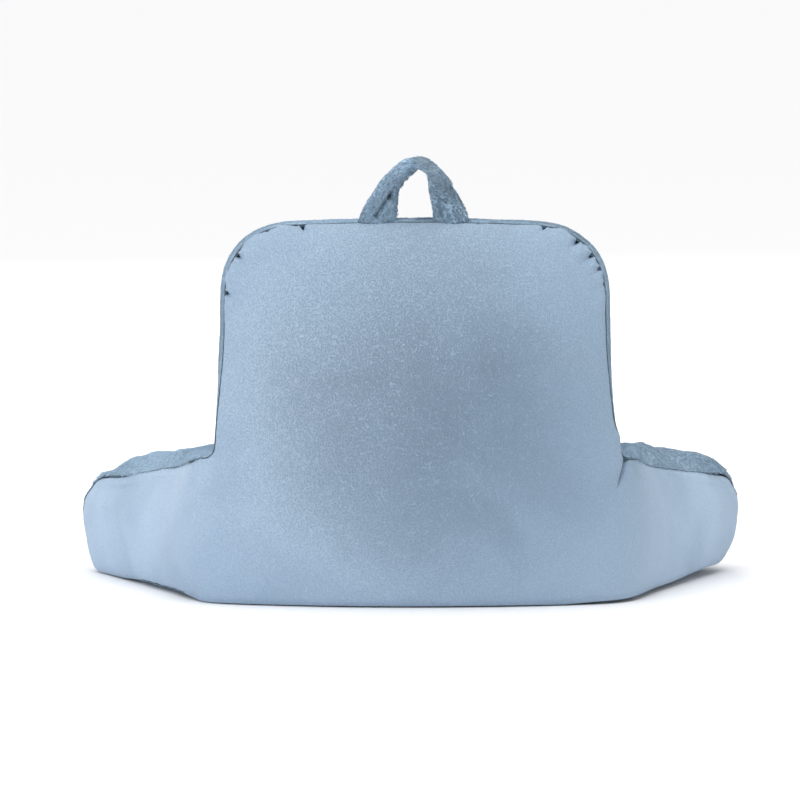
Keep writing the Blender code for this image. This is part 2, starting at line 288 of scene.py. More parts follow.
def cutFiner(skin, reach, spots=None):      # smaller cells along the seams, or round some spots
    bm = bmesh.new()
    bm.from_mesh(skin.data)
    tree = nearTree(spots or [v.co for v in bm.verts if v.is_boundary])
    near = {v for v in bm.verts if tree.find(v.co)[2] < reach}
    edges = [e for e in bm.edges if e.verts[0] in near and e.verts[1] in near]
    bmesh.ops.subdivide_edges(bm, edges=edges, cuts=1, use_grid_fill=True)
    bm.to_mesh(skin.data)
    bm.free()
    skin.data.shade_smooth()


def seamLine(mesh):      # a tree that finds the nearest point of a skin's edge
    count = np.zeros(len(mesh.edges), int)
    for face in mesh.polygons:
        for loop in face.loop_indices:
            count[mesh.loops[loop].edge_index] += 1
    ends = {v for edge in mesh.edges if count[edge.index] == 1 for v in edge.vertices}
    return nearTree([mesh.vertices[v].co for v in ends])


def seamDistances(mesh):      # also kept on the mesh, as a painted seam shadow's strength that is 1 at the seam
    tree = seamLine(mesh)
    away = np.array([tree.find(v.co)[2] for v in mesh.vertices])
    layer = mesh.attributes.new("seamShade", 'FLOAT', 'POINT')
    layer.data.foreach_set("value", np.exp(-away / skinLook["seamShadeReach"]))
    return away


def turnEdges(skin):      # the cloth turns in at its seams
    bm = bmesh.new()
    bm.from_mesh(skin.data)
    bm.normal_update()
    shade = bm.verts.layers.float["seamShade"]
    for step in range(skinLook["hemSteps"]):
        border = [e for e in bm.edges if e.is_boundary]
        inward = {}
        for edge in border:
            for vert in edge.verts:
                inward[vert] = -vert.normal * skinLook["hemDepth"] / skinLook["hemSteps"]
        tree, moves = nearTree([v.co for v in inward]), list(inward.values())
        made = bmesh.ops.extrude_edge_only(bm, edges=border)["geom"]
        for vert in made:
            if isinstance(vert, bmesh.types.BMVert):
                vert.co += moves[tree.find(vert.co)[1]]
                vert[shade] = skinLook["hemShade"]
        bm.normal_update()
    bm.to_mesh(skin.data)
    bm.free()
    skin.data.shade_smooth()


# Materials

def feed(tree, socket, value):      # another node's output, or a plain value
    if isinstance(value, bpy.types.NodeSocket):
        tree.links.new(value, socket)
    else:
        socket.default_value = value


def addNode(tree, kind, settings=None, **inputs):
    node = tree.nodes.new(kind)
    for key, value in (settings or {}).items():
        setattr(node, key, value)
    for key, value in inputs.items():
        feed(tree, node.inputs[key.replace("_", " ")], value)
    return node


def arithmetic(tree, how, first, second, clamp=False):
    node = addNode(tree, "ShaderNodeMath", {"operation": how, "use_clamp": clamp})
    feed(tree, node.inputs[0], first)
    feed(tree, node.inputs[1], second)
    return node.outputs[0]


def times(tree, first, second, clamp=False):
    return arithmetic(tree, 'MULTIPLY', first, second, clamp)


def remap(tree, value, low, high, newLow, newHigh):
    return addNode(tree, "ShaderNodeMapRange", {"interpolation_type": 'SMOOTHSTEP'}, Value=value,
                   From_Min=low, From_Max=high, To_Min=newLow, To_Max=newHigh).outputs["Result"]


def distanceTo(tree, place, centre):
    node = addNode(tree, "ShaderNodeVectorMath", {"operation": 'DISTANCE'})
    feed(tree, node.inputs[0], place)
    feed(tree, node.inputs[1], centre)
    return node.outputs["Value"]


def newGroup(name, inputs, outputs):
    group = bpy.data.node_groups.new(name, 'ShaderNodeTree')
    for label, kind, value in inputs:
        socket = group.interface.new_socket(label, in_out='INPUT', socket_type=kind)
        if value is not None:
            socket.default_value = value
    for label in outputs:
        group.interface.new_socket(label, in_out='OUTPUT', socket_type='NodeSocketFloat')
    return group, group.nodes.new("NodeGroupInput").outputs, group.nodes.new("NodeGroupOutput").inputs


weavePatterns = {
    "broadPatches": {"Detail": 2.0, "Roughness": 0.45, "Distortion": 0.6},
    "smallPatches": {"Scale": 85.0, "Detail": 3.0, "Roughness": 0.6, "Distortion": 0.3},
    "patchContrast": (0.3, 0.7),
    "grain": {"Detail": 1.0, "Roughness": 0.5, "Distortion": 0.1},
    "fineGrain": {"Detail": 1.0, "Roughness": 0.5},
    "finer": 2.7,                    # so many times finer than the grain
    "finerShare": 0.3,
    "grainContrast": (0.36, 0.64),
}


def noise(tree, place, **look):
    return addNode(tree, "ShaderNodeTexNoise", Vector=place, **look).outputs["Fac"]


def napGroup():      # broad patches where the nap lies another way
    look = weavePatterns
    group, given, out = newGroup("napPatches", [("Vector", 'NodeSocketVector', None),
                                                ("Patch Scale", 'NodeSocketFloat', 9.0),
                                                ("Mottle", 'NodeSocketFloat', 0.3)], ["Tone"])
    broad = noise(group, given["Vector"], Scale=given["Patch Scale"], **look["broadPatches"])
    small = noise(group, given["Vector"], **look["smallPatches"])
    spread = remap(group, broad, *look["patchContrast"], 0.0, 1.0)
    fine = times(group, arithmetic(group, 'SUBTRACT', small, 0.5), given["Mottle"])
    group.links.new(arithmetic(group, 'ADD', spread, fine, clamp=True), out["Tone"])
    return group


def grainGroup():      # the small pebbles of the velour, or the roots of the plush
    look = weavePatterns
    group, given, out = newGroup("clothGrain", [("Vector", 'NodeSocketVector', None),
                                                ("Grain Scale", 'NodeSocketFloat', 300.0),
                                                ("Stretch", 'NodeSocketVector', (1.0, 1.0, 1.0))],
                                 ["Height"])
    stretched = addNode(group, "ShaderNodeVectorMath", {"operation": 'MULTIPLY'}).outputs[0]
    group.links.new(given["Vector"], stretched.node.inputs[0])
    group.links.new(given["Stretch"], stretched.node.inputs[1])
    coarse = noise(group, stretched, Scale=given["Grain Scale"], **look["grain"])
    fineScale = times(group, given["Grain Scale"], look["finer"])
    fine = noise(group, stretched, Scale=fineScale, **look["fineGrain"])
    both = arithmetic(group, 'ADD', times(group, coarse, 1.0 - look["finerShare"]),
                      times(group, fine, look["finerShare"]))
    group.links.new(remap(group, both, *look["grainContrast"], 0.0, 1.0), out["Height"])
    return group


def useGroup(tree, group, **inputs):
    return addNode(tree, "ShaderNodeGroup", {"node_tree": group}, **inputs).outputs[0]


def clothShader(name, look):
    material = bpy.data.materials.new(name)
    material.use_nodes = True
    tree = material.node_tree
    shader = tree.nodes["Principled BSDF"]
    shader.inputs["Roughness"].default_value = look["roughness"]
    shader.inputs["Sheen Weight"].default_value = look["sheen"]
    shader.inputs["Sheen Roughness"].default_value = look["sheenRoughness"]
    shader.inputs["Sheen Tint"].default_value = look["sheenTint"]
    shader.inputs["Specular IOR Level"].default_value = look["gloss"]
    place = tree.nodes.new("ShaderNodeTexCoord").outputs["Object"]
    return material, tree, shader, place


def blendColours(tree, share, low, high):
    mix = addNode(tree, "ShaderNodeMix", {"data_type": 'RGBA'}, Factor=share)
    feed(tree, mix.inputs[6], low)      # the colour sockets come after the plain ones of the same name
    feed(tree, mix.inputs[7], high)
    return mix.outputs[2]


def addBump(tree, shader, height, distance, strength):
    bump = addNode(tree, "ShaderNodeBump", Height=height, Distance=distance, Strength=strength)
    tree.links.new(bump.outputs["Normal"], shader.inputs["Normal"])


velourLook = {
    "deep": (0.285, 0.392, 0.515, 1.0),
    "pale": (0.410, 0.535, 0.680, 1.0),
    # painted shade colour for the pebbles' hollows
    "grainPaintedShadeColour": (0.205, 0.300, 0.415, 1.0),
    "roughness": 0.85,
    "sheen": 0.35,
    "sheenRoughness": 0.4,
    "sheenTint": (0.80, 0.88, 1.0, 1.0),
    "gloss": 0.2,
    "patchScale": 7.0,
    "mottle": 0.25,
    "grainScale": 640.0,
    "grainStretch": (1.0, 1.0, 0.8),
    "grainDepth": 0.0020,
    # painted shade in the pebbles' hollows and painted highlight on their crests: their strengths, and the
    # highlight colour
    "grainShade": 0.62,
    "grainShine": 0.50,
    "grainPaintedHighlightColour": (0.600, 0.740, 0.900, 1.0),
    "grainCentre": (-0.005, 0.15, 0.24),    # the pebbles are clearest here and fade outwards
    "grainNear": 0.0,
    "grainFar": 0.36,
    "grainLeast": 0.26,
    "wander": 0.09,                  # how far the nap patches push these two areas' edges about
    "paintedShadeCentre": (-0.110, 0.17, 0.185),    # painted shade: a broad darker patch right of the middle, where the light falls away
    "paintedShadeReach": 0.315,
    "paintedShadeShare": 0.77,
    "paintedShade": (0.228, 0.325, 0.445, 1.0),
    # painted shadow in the seam's gap, in plushLook's seam colour
    "seamPaintedShadowShare": 0.5,
}

plushLook = {
    "deep": (0.215, 0.320, 0.430, 1.0),
    "pale": (0.430, 0.580, 0.740, 1.0),
    # painted shadow colour for the seams' gaps
    "seam": (0.070, 0.110, 0.145, 1.0),
    "roughness": 0.95,
    "sheen": 0.3,
    "sheenRoughness": 0.5,
    "sheenTint": (0.75, 0.88, 1.0, 1.0),
    "gloss": 0.1,
    "patchScale": 16.0,
    "mottle": 0.5,
    "grainScale": 420.0,
    "grainDepth": 0.0014,
    "grainStrength": 0.7,
}

pileLook = {
    # roots darker than tips: painted shade down among the fibres
    "root": (0.170, 0.270, 0.355, 1.0),
    "tip": (0.590, 0.800, 1.000, 1.0),
    "shadeTone": 0.7,                # how far the nap patches darken the tips
    "roughness": 0.8,
    "sheen": 0.25,
    "sheenRoughness": 0.4,
    "sheenTint": (0.8, 0.9, 1.0, 1.0),
    "gloss": 0.25,
    "patchScale": 22.0,
    "mottle": 0.6,
}


# painted shadow along the seams, 1 at the seam, from the seamShade attribute
def seamPaintedShadowMask(tree):
    shade = addNode(tree, "ShaderNodeAttribute", {"attribute_name": "seamShade"}).outputs["Fac"]
    return remap(tree, shade, skinLook["maskFrom"], 1.0, 0.0, 1.0)


def velourMaterial(nap, grain):
    look = velourLook
    material, tree, shader, place = clothShader("velour", look)
    tone = useGroup(tree, nap, Vector=place, Patch_Scale=look["patchScale"], Mottle=look["mottle"])
    height = useGroup(tree, grain, Vector=place, Grain_Scale=look["grainScale"], Stretch=look["grainStretch"])
    push = times(tree, arithmetic(tree, 'SUBTRACT', 0.5, tone), look["wander"])
    away = arithmetic(tree, 'ADD', distanceTo(tree, place, look["grainCentre"]), push)
    clear = remap(tree, away, look["grainNear"], look["grainFar"], 1.0, look["grainLeast"])
    colour = blendColours(tree, tone, look["deep"], look["pale"])
    # painted shade in the pebbles' hollows, painted highlight on their crests
    hollow = times(tree, arithmetic(tree, 'SUBTRACT', 1.0, height), clear)
    hollow = times(tree, hollow, look["grainShade"], clamp=True)
    colour = blendColours(tree, hollow, colour, look["grainPaintedShadeColour"])
    crest = times(tree, times(tree, height, clear), look["grainShine"])
    colour = blendColours(tree, crest, colour, look["grainPaintedHighlightColour"])
    # painted shade: darker towards a broad patch right of the middle, where the light falls away
    away = arithmetic(tree, 'ADD', distanceTo(tree, place, look["paintedShadeCentre"]), push)
    paintedShade = remap(tree, away, 0.0, look["paintedShadeReach"], look["paintedShadeShare"], 0.0)
    colour = blendColours(tree, paintedShade, colour, look["paintedShade"])
    # painted shadow at the seams
    colour = blendColours(tree, times(tree, seamPaintedShadowMask(tree), look["seamPaintedShadowShare"]), colour, plushLook["seam"])
    tree.links.new(colour, shader.inputs["Base Color"])
    addBump(tree, shader, height, look["grainDepth"], clear)
    return material


def plushMaterial(nap, grain):
    look = plushLook
    material, tree, shader, place = clothShader("plushGround", look)
    tone = useGroup(tree, nap, Vector=place, Patch_Scale=look["patchScale"], Mottle=look["mottle"])
    height = useGroup(tree, grain, Vector=place, Grain_Scale=look["grainScale"])
    colour = blendColours(tree, times(tree, tone, height), look["deep"], look["pale"])
    # painted shadow at the seams
    colour = blendColours(tree, seamPaintedShadowMask(tree), colour, look["seam"])
    tree.links.new(colour, shader.inputs["Base Color"])
    addBump(tree, shader, height, look["grainDepth"], look["grainStrength"])
    return material


def pileMaterial(nap):
    look = pileLook
    material, tree, shader, place = clothShader("plushPile", look)
    shade = addNode(tree, "ShaderNodeAttribute", {"attribute_name": "pileShade"}).outputs["Fac"]
    tone = useGroup(tree, nap, Vector=place, Patch_Scale=look["patchScale"], Mottle=look["mottle"])
    tone = remap(tree, tone, 0.0, 1.0, look["shadeTone"], 1.0)
    colour = blendColours(tree, times(tree, shade, tone), look["root"], look["tip"])
    tree.links.new(colour, shader.inputs["Base Color"])
    return material


# Pile: thin three-sided tufts, combed along the cloth and gathered into small locks

pileStyle = {
    "length": (0.0045, 0.0075),
    "thickness": 0.00065,
    "lean": math.radians(62),        # from straight up off the cloth
    "leanSpread": math.radians(12),
    "leanMost": 1.8,                 # of that spread
    "swirl": 0.8,                    # how far the combing wanders
    "swirlSpacing": 0.035,
    "lockSize": 10,                  # tufts whose tips draw together
    "lockPull": 0.5,
    "pullSpread": (0.5, 1.0),
    "widthSpread": (0.7, 1.3),
    "lockDark": 0.5,                 # the darkest lock, of 1
    # roots darker than tips: painted shade down among the fibres
    "tipShade": (0.7, 1.0),
    "rootShade": (0.1, 0.4),
    "seamTrim": 0.7,
    # painted shadow on the pile beside the seams
    "seamPaintedShadow": 0.7,
    "paintedShadeAndLightSpots": [],                   # painted shade where the pile parts, painted light where depth is below 0: x, z, reach and depth
    "rootDepth": 0.0006,
    "floorRoom": 0.0004,
}


def scatter(mesh, count, seed, weigh=None):
    mesh.calc_loop_triangles()
    corners = np.empty(len(mesh.loop_triangles) * 3, np.int32)
    mesh.loop_triangles.foreach_get("vertices", corners)
    corners = corners.reshape(-1, 3)
    places, normals = pointsOf(mesh), normalsOf(mesh)
    a, b, c = (places[corners[:, k]] for k in range(3))
    areas = np.linalg.norm(np.cross(b - a, c - a), axis=1)
    if weigh is not None:
        areas = areas * weigh((a + b + c) / 3.0)
    shade = np.zeros(len(places))
    if "seamShade" in mesh.attributes:
        mesh.attributes["seamShade"].data.foreach_get("value", shade)
        areas = areas * (shade[corners].max(axis=1) <= 1.0)
    dice = np.random.default_rng(seed)
    chosen = dice.choice(len(areas), size=count, p=areas / areas.sum())
    share = dice.random((count, 2))
    over = share.sum(axis=1) > 1.0
    share[over] = 1.0 - share[over]
    weights = np.column_stack([1.0 - share.sum(axis=1), share])[:, :, None]
    at = (places[corners[chosen]] * weights).sum(axis=1)
    up = unit((normals[corners[chosen]] * weights).sum(axis=1))
    seam = (shade[corners[chosen]][:, :, None] * weights).sum(axis=1)[:, 0]
    return at, up, seam


def growPile(name, mesh, seed, comb, look, weigh=None):
    style = {**pileStyle, **look}
    count = style["tufts"]
    at, up, seam = scatter(mesh, count, seed, weigh)
    dice = np.random.default_rng(seed + 1)
    flow = comb(at)
    wander = np.column_stack([ripple(at, style["swirlSpacing"], seed + k) for k in range(3)])
    flow = unit(flow) + style["swirl"] * wander
    flow = unit(flow - up * (flow * up).sum(axis=1, keepdims=True))
    most = style["leanMost"]
    lean = style["lean"] + style["leanSpread"] * dice.normal(size=count).clip(-most, most)
    long = dice.uniform(*style["length"], count) * (1.0 - style["seamTrim"] * seam)
    axis = up * np.cos(lean)[:, None] + flow * np.sin(lean)[:, None]
    tips = at + axis * long[:, None]
    tree = nearTree(at[:count // style["lockSize"]])
    lead = np.array([tree.find(p)[1] for p in at])
    tips += (tips[lead] - tips) * (style["lockPull"] * dice.uniform(*style["pullSpread"], count))[:, None]
    roots = at - up * style["rootDepth"]
    axis = unit(tips - roots)
    long = np.linalg.norm(tips - roots, axis=1)
    side = unit(np.cross(axis, dice.normal(size=(count, 3))))
    across = np.cross(axis, side)
    shape, faces = unitTuft()
    width = style["thickness"] * dice.uniform(*style["widthSpread"], count)
    places = (roots[:, None, :] + side[:, None, :] * (shape[None, :, :1] * width[:, None, None])
              + across[:, None, :] * (shape[None, :, 1:2] * width[:, None, None])
              + axis[:, None, :] * ((shape[None, :, 2:] + 0.5) * long[:, None, None]))
    places[:, :, 2] = np.maximum(places[:, :, 2], style["floorRoom"])
    # each lock's random tone, with painted shadow beside the seams
    lockToneAndPaintedShade = dice.uniform(style["lockDark"], 1.0, count)[lead] * (1.0 - style["seamPaintedShadow"] * seam)
    # painted shade and painted light at the given spots
    for x, z, reach, depth in style["paintedShadeAndLightSpots"]:
        far = ((at[:, 0] - x) ** 2 + (at[:, 2] - z) ** 2) / reach ** 2
        lockToneAndPaintedShade *= 1.0 - depth * np.exp(-far)
    tipShade = dice.uniform(*style["tipShade"], (count, 1))
    rootShade = dice.uniform(*style["rootShade"], (count, 1))
    shade = lockToneAndPaintedShade[:, None] * np.where(shape[None, :, 2] > 0.0, tipShade, rootShade)
    return tuftPiece(name, places, faces, shade)


def unitTuft():      # one tuft, a unit long and wide
    bm = bmesh.new()
    bmesh.ops.create_cone(bm, cap_ends=False, segments=3, radius1=1.0, radius2=0.0, depth=1.0)
    bm.verts.index_update()
    shape = np.array([v.co for v in bm.verts])
    faces = np.array([[v.index for v in f.verts] for f in bm.faces])
    bm.free()
    return shape, faces


def tuftPiece(name, places, faces, shade):      # all the tufts in one mesh
    count, perTuft = places.shape[:2]
    loops = (faces.ravel()[None, :] + np.arange(count)[:, None] * perTuft).ravel()
    mesh = bpy.data.meshes.new(name)
    mesh.vertices.add(count * perTuft)
    mesh.vertices.foreach_set("co", places.ravel())
    mesh.loops.add(len(loops))
    mesh.loops.foreach_set("vertex_index", loops)
    mesh.polygons.add(count * len(faces))
    mesh.polygons.foreach_set("loop_start", np.arange(count * len(faces)) * faces.shape[1])
    mesh.update(calc_edges=True)
    mesh.validate()
    layer = mesh.attributes.new("pileShade", 'FLOAT', 'POINT')
    layer.data.foreach_set("value", shade.ravel())
    mesh.shade_smooth()
    return addObject(name, mesh)


# Arms: what the filling does to every piece of them

armShape = {
    "tipReach": (0.270, 0.345),      # the tips start here on either side
    # how far a tip leans out at each height; the photo's left arm is +X
    "leftHeights": (0.000, 0.017, 0.038, 0.055, 0.080, 0.105),
    "leftLean": (-0.0060, -0.0055, -0.0030, 0.0010, 0.0045, -0.0010),
    "rightHeights": (0.000, 0.012, 0.030, 0.050, 0.077, 0.100),
    "rightLean": (-0.0055, -0.0050, -0.0022, 0.0, 0.0027, 0.0010),
    # the photo's right arm rises off the floor towards its tip
    "liftAt": (0.170, 0.200, 0.240, 0.290, 0.317, 0.338),
    "lift": (0.0, 0.0020, 0.0038, 0.0048, 0.0070, 0.0090),
    "liftHeight": 0.10,
    # how far the seam on an arm's top comes down towards the back, by x
    "seamAt": (-0.350, -0.342, -0.335, -0.321, -0.300, -0.262, -0.248, -0.238,
               0.232, 0.2415, 0.258, 0.274, 0.305, 0.317, 0.331, 0.341, 0.352),
    "seamDown": (0.012, 0.011, 0.008, 0.002, 0.0, 0.001, 0.003, 0.0,
                 0.0, 0.006, 0.0035, 0.0, 0.0015, 0.006, 0.0095, 0.011, 0.009),
    "seamHeights": (0.05, 0.10),
    "seamSpread": 0.028,
    "slopeLeast": 0.5,               # keeps the way down short where the cloth lies flat
    "downLeast": 1e-5,
}


def armShift(places):      # leans the tips and lifts the right one
    look = armShape
    move = np.zeros_like(places)
    for side, sign in (("left", 1.0), ("right", -1.0)):
        lean = np.interp(places[:, 2], look[side + "Heights"], look[side + "Lean"])
        move[:, 0] += sign * lean * smoothRise(sign * places[:, 0], *look["tipReach"])
    low = (1.0 - places[:, 2] / look["liftHeight"]).clip(0.0)
    move[:, 2] = np.interp(-places[:, 0], look["liftAt"], look["lift"]) * low
    return move


def lowerSeam(places, normals, seam, filling):      # draws both cloths' edges down, along the filling
    look = armShape
    found = [seam.find(p) for p in places]
    edge, away = np.array([f[0] for f in found]), np.array([f[2] for f in found])
    down = np.interp(edge[:, 0], look["seamAt"], look["seamDown"])
    down *= smoothRise(edge[:, 2], *look["seamHeights"]) * bell(away, look["seamSpread"])
    along = normals * normals[:, 2:] - np.array([0.0, 0.0, 1.0])
    along /= np.maximum(np.linalg.norm(along, axis=1, keepdims=True), look["slopeLeast"])
    moved = places + along * down[:, None]
    for k in np.flatnonzero(down > look["downLeast"]):
        before = filling.find_nearest(Vector(places[k]))[3]
        close = filling.find_nearest(Vector(moved[k]))
        out = Vector(moved[k]) - close[0]
        moved[k] += np.array(out) / max(out.length, 1e-6) * (before - out.length)
    return moved


# Back panel

backPanel = {
    "flat": (1.12, 0.42),
    "flatArea": 0.27,
    "seamRoll": 0.0022,              # how deep the cloth dips into its seams
    "seamRollWidth": 0.0045,
    "unevenness": 0.0006,
    "unevenSpacing": 0.060,
    "evenings": 12,
    "pucker": 0.0005,                # small unevenness beside the seams
    "puckerSpacing": 0.013,
    "puckerReach": 0.009,
    "puckerStart": 0.003,
    "creaseReach": 0.011,            # the cells are cut finer this close to the crease
    "creaseCuts": 2,
    # where the top corners are gathered: x and z of the notch, its depth, pull and length
    "gathers": [
        (0.1226, 0.4134, 0.0040, 0.0046, 0.010), (0.1894, 0.3817, 0.0046, 0.0044, 0.012),
        (0.2028, 0.3401, 0.0040, 0.0032, 0.012), (-0.1463, 0.4129, 0.0026, 0.0030, 0.010),
        (-0.1797, 0.3948, 0.0046, 0.0056, 0.016), (-0.1958, 0.3810, 0.0046, 0.0056, 0.014),
        (-0.2081, 0.3687, 0.0036, 0.0040, 0.010), (-0.2120, 0.3520, 0.0010, 0.0012, 0.008),
        (0.1560, 0.4040, 0.0008, 0.0010, 0.008),
    ],
    "gatherReach": 0.020,            # the cells are cut finer once more this close to a gather
    "gatherTo": (0.0, 0.25),         # they all point to this x and z
    "gatherWidth": 0.0014,
    "gatherSpread": 0.30,            # a gather widens by this for each metre inwards
    "gatherFade": (2.5, 4.0),        # it ends between these, in its own lengths
    "ridgeAway": 2.0,                # in its own widths
    "ridgeShare": 0.4,
    "notchWidth": 0.0050,
    "notchDeep": 0.008,
    "notchFade": (0.022, 0.034),
    "scallop": 0.0014,               # the edge swells out on either side of a notch
    "scallopAway": 0.015,
    "scallopWidth": 0.007,
    # where an arm meets the back: a sharp crease that fades out downwards
    "crease": [(-0.2305, 0.177), (-0.2318, 0.160), (-0.2308, 0.146), (-0.2280, 0.134), (-0.2240, 0.125)],
    "creaseDepth": 0.0085,
    "creaseWidth": 0.0030,
    "creaseBulge": 0.0022,           # the back swells over it
    "bulgeAway": 2.5,                # in the crease's widths, as wide again
    "overEdge": 0.002,
    "overEase": 0.5,                 # the crease is this much shallower on the back's side
    "creaseFade": (0.124, 0.146),
    # soft troughs: points as x and z, then width and depth
    "troughs": [
        ([(-0.2404, 0.151), (-0.247, 0.139)], 0.0040, 0.0014),
        ([(0.256, 0.034), (0.240, 0.010)], 0.0060, 0.0022),
        ([(0.080, 0.075), (-0.020, 0.040), (-0.120, 0.048)], 0.0300, 0.0020),
    ],
    "hemDrop": 0.0057,               # how far the lower edge hangs down to the floor
    "hemReach": (0.006, 0.045),
    "liftAlong": (0.234, 0.254, 0.300, 0.338),      # along x, where it stays up and shows the base
    "liftShare": 0.68,
    # how the back swells over the arm on the photo's right
    "flareAcross": (0.170, 0.210, 0.236, 0.262),
    "flareHeight": 0.172,
    "flareSpread": 0.024,
    "flareReach": 0.0045,
}


def between(values, left, inLeft, inRight, right):
    return smoothRise(values, left, inLeft) * (1.0 - smoothRise(values, inRight, right))


def liftedHem(places):
    return backPanel["liftShare"] * between(places[:, 0], *backPanel["liftAlong"])


def flareOut(places):
    look = backPanel
    near = bell(places[:, 2] - look["flareHeight"], look["flareSpread"])
    near *= between(-places[:, 0], *look["flareAcross"])
    places[:, 0] -= look["flareReach"] * near


def dipSeams(places, normals, away):      # unevenness, the dip into the seams, and puckers beside them
    look = backPanel
    rise = look["unevenness"] * ripple(places, look["unevenSpacing"], 3)
    rise *= smoothRise(away, 0.0, skinLook["calmEdge"])
    rise -= look["seamRoll"] * bell(away, look["seamRollWidth"])
    puckers = look["pucker"] * ripple(places, look["puckerSpacing"], 5) * np.exp(-away / look["puckerReach"])
    rise += puckers * smoothRise(away, 0.0, look["puckerStart"])
    return places + normals * rise[:, None]


def creaseDepths(places):      # the crease over the arm on the photo's right
    look = backPanel
    path = np.array(look["crease"])
    near = pathDistance(places[:, [0, 2]], path)
    line = np.interp(places[:, 2], path[::-1, 1], path[::-1, 0])
    overBack = smoothRise(places[:, 0] - line, 0.0, look["overEdge"])
    swellWidth = look["bulgeAway"] * look["creaseWidth"]
    swell = bell(near - swellWidth, swellWidth) * overBack
    fold = look["creaseDepth"] * np.exp(-near / look["creaseWidth"]) * (1.0 - look["overEase"] * overBack)
    return (fold - look["creaseBulge"] * swell) * smoothRise(places[:, 2], *look["creaseFade"])


def gatherMove(places, normals, spot, depth, pull, long):      # a valley between ridges, and its notch
    look = backPanel
    toX, toZ = look["gatherTo"]
    inward = Vector((toX, spot.y, toZ)) - spot
    inward.normalize()
    along = np.array(inward.cross(Vector((0.0, 1.0, 0.0))))
    offset = places - np.array(spot)
    deep, aside = (offset @ np.array(inward)).clip(0.0), np.abs(offset @ along)
    close = np.linalg.norm(offset, axis=1)
    width = look["gatherWidth"] + look["gatherSpread"] * deep
    fade = np.exp(-deep / long) * (1.0 - smoothRise(close / long, *look["gatherFade"]))
    valley, ridges = bell(aside, width), bell(aside - look["ridgeAway"] * width, width)
    drawn = pull * np.exp(-aside / look["notchWidth"])
    drawn -= look["scallop"] * bell(aside - look["scallopAway"], look["scallopWidth"])
    drawn *= np.exp(-deep / look["notchDeep"]) * (1.0 - smoothRise(close, *look["notchFade"]))
    return (np.array(inward) * drawn[:, None]
            - normals * (depth * fade * (valley - look["ridgeShare"] * ridges))[:, None])


def makeBackPanel(filling):
    look = backPanel
    skin = showingSkin("back_panel", "velourBack", filling, skinLook["fineness"], look["evenings"])
    seam = seamLine(skin.data)

    def onSkin(x, z):
        return min((v.co for v in skin.data.vertices), key=lambda p: abs(p.x - x) + abs(p.z - z)).copy()

    spots = [seam.find(onSkin(x, z))[0] for x, z, *_ in look["gathers"]]
    creaseSpots = [onSkin(x, z) for x, z in look["crease"]]
    creaseSpots += [a.lerp(b, 0.5) for a, b in zip(creaseSpots, creaseSpots[1:])]
    cutFiner(skin, skinLook["seamStrip"])
    cutFiner(skin, look["gatherReach"], spots)
    for cut in range(look["creaseCuts"]):
        cutFiner(skin, look["creaseReach"], creaseSpots)
    mesh = skin.data
    places, normals = pointsOf(mesh), normalsOf(mesh)
    moved = dipSeams(places, normals, seamDistances(mesh))
    for path, width, depth in look["troughs"]:
        moved -= normals * (depth * bell(pathDistance(places[:, [0, 2]], path), width))[:, None]
    moved -= normals * creaseDepths(places)[:, None]
    for spot, (_, _, *sizes) in zip(spots, look["gathers"]):
        moved += gatherMove(places, normals, spot, *sizes)
    moved += lowerSeam(places, normals, seam, filling) - places
    hang = (1.0 - smoothRise(places[:, 2], *look["hemReach"])) * (1.0 - liftedHem(places))
    moved[:, 2] -= look["hemDrop"] * hang
    flareOut(moved)
    placePoints(mesh, moved + armShift(moved))
    turnEdges(skin)
    return skin, seam


# Boxing band

boxingBand = {
    "flat": (1.90, 0.12),
    "flatArea": 0.20,
    "evenings": 1,
    "sink": 0.0006,
    "seamRoll": 0.0016,
    "seamRollWidth": 0.004,
    "unevenness": 0.0005,
    "unevenSpacing": 0.05,
    "tufts": 62000,
    "length": (0.0035, 0.0065),
    "thickness": 0.00042,
    "lean": math.radians(84),
    "leanSpread": math.radians(3),
    "swirl": 0.35,
    "lockDark": 0.62,
    "paintedShadeAndLightSpots": [(0.300, 0.110, 0.080, -0.60)],      # painted light: the arm on +X, towards the key light, is paler
    # soft folds across the arms' tops: x and y of both ends on the +X arm, width and depth
    "folds": [
        ((0.235, 0.080), (0.165, 0.020), 0.009, 0.0010), ((0.262, 0.020), (0.195, -0.020), 0.007, 0.0007),
        ((0.305, -0.040), (0.225, -0.050), 0.008, 0.0008), ((0.330, -0.110), (0.260, -0.095), 0.007, 0.0006),
    ],
    "armsBelow": 0.19,
    # how much the arms' tops fill out, by x
    "fullAt": (-0.360, -0.349, -0.342, -0.335, -0.328, -0.321, -0.311, -0.303, -0.293, -0.277, -0.265,
               -0.256, -0.250, -0.237, -0.223, 0.215, 0.230, 0.233, 0.245, 0.257, 0.275, 0.289, 0.303,
               0.313, 0.324, 0.331, 0.337, 0.345, 0.360),
    "fullness": (0.0, 0.0019, 0.0042, 0.0055, 0.0052, 0.0052, 0.0038, 0.0044, 0.0060, 0.0084, 0.0122,
                 0.0130, 0.0108, 0.0058, 0.0, 0.0, 0.0010, 0.0022, 0.0055, 0.0072, 0.0060, 0.0047, 0.0013,
                 0.0020, -0.0013, -0.0075, -0.0105, -0.0085, 0.0),
    "fullnessReach": (0.0, 0.026),
    "farSeamShade": 0.25,            # the painted shadow at the seam to the front panel is paler than at the one to the velour
    "farSeamFrom": 0.006,
    "shadeLeast": 0.01,
    "comb": (0.5, 0.35, -1.0),       # outwards, backwards and up
}


